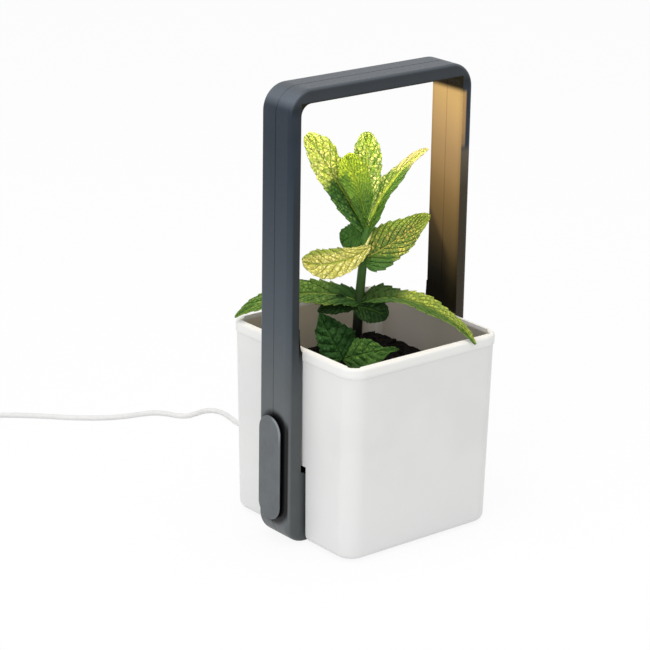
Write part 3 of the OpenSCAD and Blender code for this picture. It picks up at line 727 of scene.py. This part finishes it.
def scatter_crumbs(finish, count=620, sizes=(0.5, 0.7, 0.8, 1.0, 1.3, 1.9)):
    """Loose crumbs on the crust, each a knocked-about ball of one of the sizes in mm."""
    dice = random.Random(7)
    rest()
    bpy.ops.mesh.primitive_ico_sphere_add(subdivisions=1, radius=1)
    seed = begin("crumb")
    ball = [v.co.copy() for v in seed.data.vertices]
    faces = [tuple(p.vertices) for p in seed.data.polygons]
    bpy.data.objects.remove(seed)
    points, polygons = [], []
    for _ in range(count):
        x, y = dice.uniform(-54.5, 54.5), dice.uniform(-55.5, 55.5)
        if abs(x) > 46 and abs(y) > 47:
            continue
        size = dice.choice(sizes)
        turn = Matrix.Rotation(dice.uniform(0, 6.28), 3, Vector((dice.random(), dice.random(), dice.random() + 0.1)))
        flat = dice.uniform(0.5, 0.9)
        middle = Vector((x, y, soil_height(x, y) + size * 0.3))
        polygons += [tuple(len(points) + i for i in face) for face in faces]
        for corner in ball:
            bit = turn @ corner * size * dice.uniform(0.65, 1.25)
            points.append((middle + Vector((bit.x, bit.y, bit.z * flat))) * MM)
    crumbs = bpy.data.meshes.new("soil_crumbs")
    crumbs.from_pydata(points, [], polygons)
    settle(add_object("soil_crumbs", crumbs), "planter", finish, 0)


# ---------- plant ----------

def stem_at(z):
    """Middle of the stem at height z, in mm."""
    t = (z - 95) / 90
    d = t + 4.5 * t * abs(t)
    return Vector((10 + 0.78 * d, 20 - 0.63 * d, z))


SHOOT_TIP = Vector((-8, 11, 104))


def stalk(name, points, radii):
    """Round stalk through points, with its radius at each, in mm."""
    choose(bend_through(name, [point * MM for point in points], radii, MM, 4, 6))
    bpy.ops.object.convert(target="MESH")
    return bpy.context.object


def make_stem():
    """Main stem, thicker where leaves grow from it, the side shoot and the pale stalk under the top leaf."""
    heights = [84, 92, 100, 108, 116, 124, 130, 134, 138, 146, 154, 162, 167, 171, 175, 179, 183, 186]
    swell = {134: 0.45, 130: 0.15, 138: 0.15, 167: 0.2, 171: 0.4, 175: 0.3, 179: 0.3, 183: 0.3}
    radii = [3.3 - ((z - 84) / 102) ** 2 + swell.get(z, 0) for z in heights]
    stem = stalk("mint_stem", [stem_at(z) for z in heights], radii)
    steps = [i / 6 for i in range(7)]
    path = [stem_at(94) * (1 - t) + SHOOT_TIP * t + Vector((0, 0, 3 * t * (1 - t))) for t in steps]
    shoot = stalk("mint_shoot", path, [1.4 - 0.4 * t for t in steps])
    rise = [stem_at(176) + Vector(step) for step in ((-1.5, -2.5, -1.5), (0.5, -3.0, 2.5), (3, -2.6, 7))]
    petiole = stalk("mint_petiole", rise, [1.0, 0.8, 0.55])
    settle(petiole, "planter", moulded("pale stalk", "cfd084", 0.5).material, 60)
    finish = stem_skin()
    settle(stem, "planter", finish, 60, ["plant_stem"])
    settle(shoot, "planter", finish, 60)


def make_leaf(name, base, head, pitch, bend, length, width, roll, fold, peak, power, look):
    """A blade of the same curve as its solid, with teeth, side ridges and a crinkle."""
    rest()
    bpy.ops.mesh.primitive_grid_add(x_subdivisions=32, y_subdivisions=112, size=1)
    title = name.replace("leaf", "mint")
    piece = begin(title)
    mesh = piece.data
    co = np.empty(len(mesh.vertices) * 3)
    mesh.vertices.foreach_get("co", co)
    co = co.reshape(-1, 3)
    # v goes across the blade from -1 to 1, s along it from the stem to the tip
    v, s = 2 * co[:, 0], 0.004 + 0.992 * (co[:, 1] + 0.5)

    # the midrib as an even arc, and the ways across the blade and off it
    head, pitch, bend, roll, fold = map(math.radians, (head, pitch, bend, roll, fold))
    a = pitch + bend * s
    out = length * (np.sin(a) - math.sin(pitch)) / bend
    up = length * (math.cos(pitch) - np.cos(a)) / bend
    ahead = np.array([math.cos(head), math.sin(head), 0])
    side = np.array([-math.sin(head), math.cos(head), 0])
    rise = np.array([0, 0, 1.0])
    mid = np.array(base) + out[:, None] * ahead + up[:, None] * rise
    over = -np.sin(a)[:, None] * ahead + np.cos(a)[:, None] * rise
    side, over = side * math.cos(roll) + over * math.sin(roll), over * math.cos(roll) - side * math.sin(roll)

    # half the width, with lobes and teeth
    half = width / 2 * np.sin(np.pi * s ** (math.log(0.5) / math.log(peak))) ** power
    for wider, where, spread, sign in look["lobes"]:
        half = half + wider * np.exp(-((s - where) / spread) ** 2) * (sign * v > 0)
    tooth = (s * look["teeth"]) % 1
    half = np.maximum(half * (1 - look["tooth"] * np.abs(v) ** 5 * (1 - tooth)), 0.45)

    # the lift off the arc: side ridges, groove of the midrib, waves, crinkle, crown and fold
    phase = look["veins"] * (s - look["skew"] * np.abs(v)) + 0.5 * (v > 0)
    ridge = np.abs(np.sin(np.pi * phase)) ** 0.8
    inner = np.clip(np.abs(v) / 0.12, 0, 1) * (1 - np.abs(v) ** 4) * np.clip(s / 0.1, 0, 1)
    inner *= np.clip((1 - s) / 0.06, 0, 1)
    lift = look["ridge"] * (ridge - 0.5) * inner
    lift -= 0.35 * np.exp(-(v * half / 0.7) ** 2)
    wave = look["wave"] * np.abs(v) ** 2 * np.sin(2 * np.pi * (2.5 * s + 0.23 * (v > 0)))
    lift += wave * np.clip(s / 0.2, 0, 1)
    rough = look["rough_mm"]
    spots = [Vector(p) for p in mid - side * (v * half)[:, None]]
    crinkle = [rough * noise.noise(p / 4.2) + 0.4 * rough * noise.noise(p / 1.9) for p in spots]
    lift += np.array(crinkle) * np.clip(s / 0.1, 0, 1)
    high, where, spread, sign = look["crown"]
    lift += high * np.exp(-((s - where) / spread) ** 2) * np.clip(sign * v, 0, 1) ** 0.8
    lift += np.abs(v) * half * math.sin(fold)
    points = mid - side * (v * half * math.cos(fold))[:, None] + over * lift[:, None]
    mesh.vertices.foreach_set("co", (points * MM).ravel())
    mesh.update()
    use(piece, "SOLIDIFY", thickness=0.45 * MM, offset=0)
    skin = leaf_skin(title + " skin", length, width, look)
    settle(piece, "planter", skin, 75, [name])


# What a leaf's look says unless its own entry says otherwise. Zones paint light and shade on the blade; each is a
# colour, the steps across and along the blade where it comes in, its share, and where they differ the share and colour
# of the net in it. A lobe is mm of width, its place and reach along the blade, and its side. A crown is the same, with
# mm of lift.
BLADE = dict(rough=0.42, veins=8, skew=0.25, vein_width=0.09, vein=0.8, cell_mm=2.6, net_width=0.28,
             rib_width=(0.02, 0.09), zones=(), calm=1.3, teeth=9, tooth=0.1, lobes=(), ridge=0.8, wave=1.0,
             rough_mm=0.5, crown=(0, 0, 1, 1))
# the upper leaves under the lamp: pale lime, partly their own colour and partly painted lamp light and painted
# highlights on the cells
LAMP_LIT_LEAF = dict(BLADE, slot="leaf_bright", cell="f2f2a4", patch="d4de6c", net_colour="74a030", vein_colour="6e9a34",
            rib_colour="a8c04c", cell_mm=2.4, net=0.9, net_width=0.3, sheen=0.25, relief=0.8)
# the lower leaves: deep green, partly their own colour and partly painted shade
SHADED_LEAF = dict(BLADE, slot="leaf_deep", cell="4e7a30", patch="3e6a28", net_colour="244a1a", vein_colour="2c5a20",
            rib_colour="84a452", net=0.7, rough=0.5, sheen=0.12, relief=0.7)
ANY = (0, 0.001)

# node, foot in mm, heading, pitch and bend in degrees, length and width in mm, roll and fold in degrees, place of
# the widest part, how pointed the blade is, look
# each leaf's dark zones are painted shade, where other leaves and its own hollows shade it, and its pale zones painted
# lamp light
LEAVES = [
    ("leaf_upper_left", stem_at(182), 150, 61.5, -6, 75.5, 22, -66, 6, 0.55, 0.42,
     dict(LAMP_LIT_LEAF, veins=9, vein=0.45, cell="f4f4aa", patch="dee678", net_colour="8eb23e", net_width=0.24, cell_mm=2.7,
          lobes=[(2.6, 0.84, 0.13, 1)],
          zones=[("a6c23e", (0.80, 0.92), (0.92, 0.80), 0.75),
                 ("568a36", (0.64, 0.50), (0.62, 0.50), 0.95, 0.95, "1d5222"),
                 ("c2cc50", (0.66, 0.80), (0.5, 0.3), 0.6)])),
    ("leaf_inner", stem_at(182), 160, 84.5, -22, 54, 19.5, -72, 8, 0.66, 0.38,
     dict(LAMP_LIT_LEAF, cell="d0e448", patch="b8d43e", net=0.6, net_colour="6a9a2c", vein_colour="4c7e28", veins=12,
          vein_width=0.12, skew=0.4, ridge=0.7, rough_mm=0.4, lobes=[(3.4, 0.82, 0.17, -1)], rib_colour="9cba3c",
          tooth=0.03, wave=0.5,
          zones=[("3c6e2a", (0.40, 0.22), (0.88, 0.78), 0.9), ("789c3c", ANY, (0.80, 0.52), 0.9, 0.6),
                 ("3a5f2a", ANY, (0.60, 0.32), 0.95)])),
    ("leaf_centre", stem_at(184), 57, 84, -10, 61.5, 19.5, 0, 6, 0.68, 0.5,
     dict(LAMP_LIT_LEAF, cell="ecf0a0", patch="c6da62", net_colour="5e9028", net_width=0.26, rib_colour="a6c246",
          rib_width=(0.03, 0.13))),
    ("leaf_upper_right", stem_at(180), -24, 77.5, -46, 69, 15.5, 28, 12, 0.34, 0.62,
     dict(LAMP_LIT_LEAF, cell="dcde86", patch="a8bc52", net_colour="4a7a28", calm=1.0, rough_mm=0.25, ridge=0.5,
          rib_colour="aec44a", rib_width=(0.10, 0.26),
          zones=[("d6d08e", ANY, (0.60, 0.78), 0.95, 0.12), ("46702a", (0.54, 0.62), (0.86, 0.70), 0.92)])),
    ("leaf_mid_right", stem_at(164.5), -52, 31, 15, 53, 28, 60, 6, 0.26, 0.58,
     dict(LAMP_LIT_LEAF, cell="dacc68", patch="b4b650", net_colour="4e7830", vein_colour="33602c", veins=9, vein_width=0.12,
          skew=0.42, vein=0.95, ridge=1.1, rib_colour="b8be5e", rib_width=(0.01, 0.05), crown=(3, 0.35, 0.3, -1),
          zones=[("9cb446", (0.34, 0.18), None, 0.8), ("a8ba4a", ANY, (0.72, 0.90), 0.7),
                 ("44702f", (0.62, 0.74), (0.44, 0.30), 0.95), ("44702f", (0.40, 0.62), (0.24, 0.12), 0.9)])),
    ("leaf_mid_left", stem_at(174.5) + Vector((1.6, -4, 0)), 168, -34, 56, 50.5, 21.5, -50, 6, 0.65, 0.46,
     dict(LAMP_LIT_LEAF, cell="fbf6ae", patch="eae68a", net_colour="aaae48", vein_colour="a0a848", net_width=0.24, ridge=1.0,
          zones=[("7ea03a", (0.74, 0.88), (0.30, 0.45), 0.85)])),
    ("leaf_small_back", stem_at(181.5), 120, -13, -30, 19.5, 17.5, -65, 6, 0.55, 0.5,
     dict(SHADED_LEAF, cell="4e7c32", patch="44702a", ridge=0.3, net=0.4, rib_colour="568038")),
    ("leaf_low_left", stem_at(136.5), 154.5, 23, -54, 84, 22.5, -30, 10, 0.27, 0.6,
     dict(SHADED_LEAF, cell="90b054", patch="709640", net_colour="345e26", tooth=0.18, teeth=13,
          rib_colour="94ae54", ridge=0.9,
          zones=[("24461c", ANY, (0.34, 0.12), 0.9), ("9cb050", (0.10, 0.03), (0.15, 0.3), 0.8)])),
    ("leaf_low_right", stem_at(135), -74, 29, -69, 94, 16.5, 19, 14, 0.4, 0.75,
     dict(SHADED_LEAF, cell="c4cc5a", patch="a0ae48", net_colour="507230", vein_colour="507230", ridge=0.9, veins=12,
          rib_colour="7c9c46", crown=(2.6, 0.14, 0.16, -1), lobes=[(4, 0.14, 0.12, -1)], tooth=0.2, teeth=16,
          zones=[("1a3417", ANY, (0.42, 0.28), 0.96), ("3c5e2a", (0.50, 0.62), None, 0.92),
                 ("96ac48", (0.94, 0.985), (0.3, 0.45), 0.85)])),
    ("leaf_tuft_left", stem_at(134), 172, 20, -40, 30.5, 13, -50, 5, 0.5, 0.6,
     dict(SHADED_LEAF, cell="30501f", patch="203c1a", net_colour="14280e", rib_colour="2e4c20")),
    ("leaf_tuft_right", stem_at(134) + Vector((-5, 0, 0)), -52, 4, -34, 23.5, 18.5, 58, 5, 0.5, 0.5,
     dict(SHADED_LEAF, cell="3c602c", patch="284620", net_colour="183014", rib_colour="4c7230")),
    ("leaf_front_left", SHOOT_TIP, 160, 60, 6, 36, 24, -78, 5, 0.38, 0.75,
     dict(SHADED_LEAF, cell="54864a", patch="3c6a30", net_colour="264a1e", veins=6, ridge=1.1, rough_mm=1.0,
          rib_colour="3e6a30", lobes=[(4.5, 0.25, 0.25, 1), (3, 0.14, 0.14, -1)],
          zones=[("1c3c1a", (0.56, 0.84), None, 0.88)])),
    ("leaf_front_right", SHOOT_TIP, -50, 22, -14, 37, 20, 55, 5, 0.36, 0.75,
     dict(SHADED_LEAF, cell="6c9644", patch="4c7834", net_colour="305626", veins=6, ridge=1.1, rough_mm=1.0,
          rib_colour="547c3c", lobes=[(4, 0.14, 0.16, -1), (-4, 0.74, 0.16, -1), (-2, 0.86, 0.1, 1)],
          zones=[("34582a", (0.62, 0.8), (0.5, 0.3), 0.7)])),
]


# ---------- button ----------

def pill(name, near, far, width, height):
    """Upright pill between two X places, in mm, about the pad's middle."""
    piece = disc(name, width / 2, (near, 0, PAD_Z), (0, -math.pi / 2, 0), 64)
    for side in (-1, 1):
        pick(piece, "vertices", lambda p: side * (p.z - PAD_Z) > 0.01)
        bpy.ops.transform.translate(value=(0, 0, side * (height - width) / 2 * MM))
    bpy.ops.mesh.select_all(action="SELECT")
    draw_out((far - near) * MM, 0, 0)
    face_outwards()
    return piece


def make_button():
    """Long pill with a softly rounded rim on the outside of the left leg, and its shank and lip."""
    pad = pill("button_pad", -72.75, -74.85, PAD_WIDTH, PAD_HEIGHT)
    pick(pad, "edges", lambda a, b: a.x < -74.8 and b.x < -74.8)
    bevel(0.7, 5)
    pick(pad, "edges", lambda a, b: a.x > -72.8 and b.x > -72.8)
    bevel(0.3, 2)
    cut(pad, pill("shank", -69.0, -72.9, 7.4, 39.4), "UNION")
    cut(pad, pill("lip", -68.75, -69.4, 9.6, 41.6), "UNION")
    settle(pad, "button", button_plastic(), 35, ["light_button"])


# ---------- cord ----------

# the cord's thickness, its way from the leg to the coil and from the coil to the plug, in mm, and its coil
CORD = 3.6 * MM
LYING = 1.8
EXIT_X, EXIT_Z = 65.4, 14
EXIT = Vector((EXIT_X, 30.3, EXIT_Z)) * MM
DOWN = [(EXIT_X, 33.3, EXIT_Z), (EXIT_X, 39, 13.1), (EXIT_X, 45, 10.4), (EXIT_X, 51, 6.8), (65.2, 58, 3.6),
        (64.6, 66, 2.1), (63, 76, 1.9)]
ACROSS = [(59, 91), (53, 107), (45, 124), (37, 141), (31.5, 156), (29, 170), (31, 183), (32, 193), (29.5, 201),
          (23.5, 203.8), (15, 203), (8.5, 203.6), (3.5, 208), (-1, 216), (-7.5, 222.5), (-16, 225.6), (-28, 229),
          (-42, 236), (-57, 247.5), (-72, 262), (-85, 274), (-96, 282.5), (-106, 291)]
ROUTE = DOWN + [(x, y, LYING) for x, y in ACROSS] + [(-114, 298, 1.9)]
COIL = Vector((-135, 282.5, 2.1)) * MM
COIL_R = 21.5 * MM
COIL_START = 56.5
PLUG_X = -160.1
TAIL = [(PLUG_X, 273, 5.4), (PLUG_X, 264, 4.5), (PLUG_X, 258, 4), (PLUG_X, 254, 4)]


def moved(turned, start):
    """How far a sideways move of 40 degrees that starts at an angle has gone, from 0 to 1."""
    t = min(max((turned - start) / 40, 0), 1)
    return t * t * (3 - 2 * t)


def coil_turns():
    """A little over five turns, inwards on the worktop and then outwards on top of them."""
    points = []
    for turned in np.linspace(0, 5 * 360 + 180 - COIL_START, 160):
        inward = moved(turned, 320) + moved(turned, 680) - moved(turned, 1280) - moved(turned, 1640)
        radius = COIL_R + CORD * (1 - inward)
        angle = math.radians(COIL_START + turned)
        points.append(COIL + Vector((radius * math.cos(angle), radius * math.sin(angle), CORD * moved(turned, 980))))
    return points


def drawn(name, x, z, steps):
    """Round stock along Y about x and z, in mm, drawn out ring by ring from (Y, radius) steps."""
    y, radius = steps[0]
    piece = disc(name, radius, (x, y, z), (math.pi / 2, 0, 0), 40)
    bpy.ops.object.mode_set(mode="EDIT")
    bpy.ops.mesh.select_all(action="SELECT")
    for further, size in steps[1:]:
        draw_out(0, (further - y) * MM, 0)
        resize(size / radius, 1, size / radius, (x, further, z))
        y, radius = further, size
    face_outwards()
    rest()
    return piece


def soften(piece, axis, width, rounds):
    """Rounds the edges that run along an axis of the block that was just made."""
    pick(piece, "edges", along(axis))
    bevel(width, rounds)
    rest()
    return piece


def make_relief(jacket):
    """Ridged strain relief: flange and neck in the back shell, then a sleeve that tapers to the cord."""
    def taper(y):
        """Radius of the sleeve at y, between its ridges."""
        return 3.5 - 1.3 * (y - 14.4) / 15.9

    steps = [(11.35, 3.8), (12.4, 3.8), (12.4, 3), (14.4, 3), (14.4, 3.3), (14.6, 3.5), (17, taper(17))]
    for start in np.arange(17, 27.5, 1.6):
        steps += [(start + 0.1, taper(start) - 0.5), (start + 0.7, taper(start) - 0.55),
                  (start + 0.8, taper(start + 0.8) - 0.05), (start + 1.5, taper(start + 1.5))]
    steps += [(30.1, 2.2), (30.3, 2.0)]
    settle(drawn("strain_relief", EXIT_X, EXIT_Z, steps), "stand", jacket, 40, ["cord_grommet"])


def make_tie():
    """Strap round the put-away turns, its free end lapped over the top."""
    strap = soften(block("cord_strap", (-138, 254.15, 0), (-132, 267.85, 8.0)), 0, 2.2, 6)
    cut(strap, soften(block("strap_hole", (-140, 255.15, 0.25), (-130, 266.85, 7.55)), 0, 1.5, 6))
    lap = soften(block("strap_end", (-138, 256.4, 7.7), (-132, 265.6, 8.4)), 0, 0.3, 3)
    pick(lap, "edges", lambda a, b: along(2)(a, b) and min(a.y, b.y) > 265)
    bevel(2.4, 8)
    cut(strap, lap, "UNION")
    felt = moulded("strap weave", "efefee", 0.85, 0.15, 1500)
    return settle(strap, "stand", felt.material, 35, ["cord_tie"])


def make_plug(jacket):
    """Moulded grip with finger ridges, and the steel shell with its tongue and two catches."""
    grip = soften(block("plug_handle", (-167.6, 230, 0), (-152.6, 248, 8)), 1, 1.5, 5)
    pick(grip, "polygons", lambda c, n: abs(n.y) > 0.9)
    bevel(0.6, 3)
    for y in (236, 238.4, 240.8, 243.2):
        for side in (-1, 1):
            x = sorted((PLUG_X + side * 7, PLUG_X + side * 9))
            cut(grip, block("finger_groove", (x[0], y - 0.5, -1), (x[1], y + 0.5, 9)))
    neck = [(247, 3.4), (248.6, 3.3), (248.8, 2.8), (249.4, 2.8), (249.6, 3.1), (250.4, 3.0), (250.6, 2.55),
            (251.2, 2.5), (251.4, 2.9), (252.2, 2.85), (252.4, 2.35), (253.0, 2.35), (253.2, 2.65), (254, 2.6)]
    cut(grip, drawn("plug_neck", PLUG_X, 4, neck), "UNION")
    settle(grip, "stand", jacket, 35, ["plug_grip"])
    shell = soften(block("plug_steel", (-166.1, 217.5, 1.75), (-154.1, 230, 6.25)), 1, 0.5, 3)
    cut(shell, block("mouth", (-165.7, 210, 2.15), (-154.5, 229, 5.85)))
    for x in (-162.7, -157.5):
        cut(shell, block("catch", (x - 1.1, 221.5, 5), (x + 1.1, 224, 7)))
    steel = moulded("plug steel", "c4c6c8", 0.3, 0.01, 1500, 1)
    settle(shell, "stand", steel.material, 35, ["plug_shell"])
    tongue = soften(block("plug_tongue", (-165.6, 218.3, 2.2), (-154.6, 229.2, 4)), 1, 0.3, 2)
    settle(tongue, "stand", moulded("tongue black", "1b1b1b", 0.5).material, 35)
    return grip, shell, tongue


def lay_cord():
    """The one cord from its exit to the plug, and the pieces on it."""
    points = [EXIT] + [Vector(p) * MM for p in ROUTE] + coil_turns() + [Vector(p) * MM for p in TAIL]
    cord = bend_through("white_cord", points, [1] * len(points), CORD / 2, 5, 5)
    jacket = moulded("cord jacket", "dcdcdc", 0.5, 0.003, 900, 0, 0.015).material
    cord.data.materials.append(jacket)
    make_relief(jacket)
    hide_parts("usb_cord", "cord_coil", "cord_tail")
    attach(cord, "stand")
    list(make_plug(jacket))
    make_tie()


# ---------- the scene ----------

place_camera()
lay_cord()
light_world(0.75)
lay_floor()
softbox("overhead", (-0.2, -0.1, 1.6), (0, 0, 0.15), (1.4, 1.4), 9)
softbox("left front", (-1.45, -0.72, 0.8), (0, 0, 0.15), (1.0, 1.0), 7.5)
softbox("grow lamp", (0, 0, 0.2806), (0, 0, 0), (0.012, 0.105), 0.08, (1, 0.78, 0.42))

make_pot()
damp = soil()
make_crust(damp)
scatter_crumbs(damp)
make_stem()
for leaf in LEAVES:
    make_leaf(*leaf)
make_button()

# the pieces that keep their solids' shapes, by material slot: colour, roughness, texture in mm, its scale, metal
PLAIN = {"plate_grey": ("cfcfcd", 0.5), "pad_rubber": ("3a3c3e", 0.75, 0.05), "board": ("2b6b3f", 0.4, 0.01, 1500),
         "screw_steel": ("a0a2a4", 0.35, 0.01, 1500, 1), "lamp_chip": ("f0dc90", 0.3, 0.01, 1500),
         "ribbon_film": ("c07f2c", 0.3, 0.01, 1500), "switch_black": ("1b1b1b", 0.5),
         "lead_skin": ("8c1c18", 0.45, 0.01), "wick_felt": ("d8d4c8", 0.95, 0.2)}
shared = {"hoop_slate": slate_plastic(), "lamp_lens": lamp_lens(), "medium_soil": damp}
for slot, (code, *finish) in PLAIN.items():
    shared[slot] = moulded(slot.replace("_", " "), code, *finish).material
slot_of = {part["node"]: part["material_slot"] for part in frame["record"]["subparts"]}
for node in frame["nodes"].values():
    if slot_of[node.name] in shared:
        node.data.materials.clear()
        node.data.materials.append(shared[slot_of[node.name]])
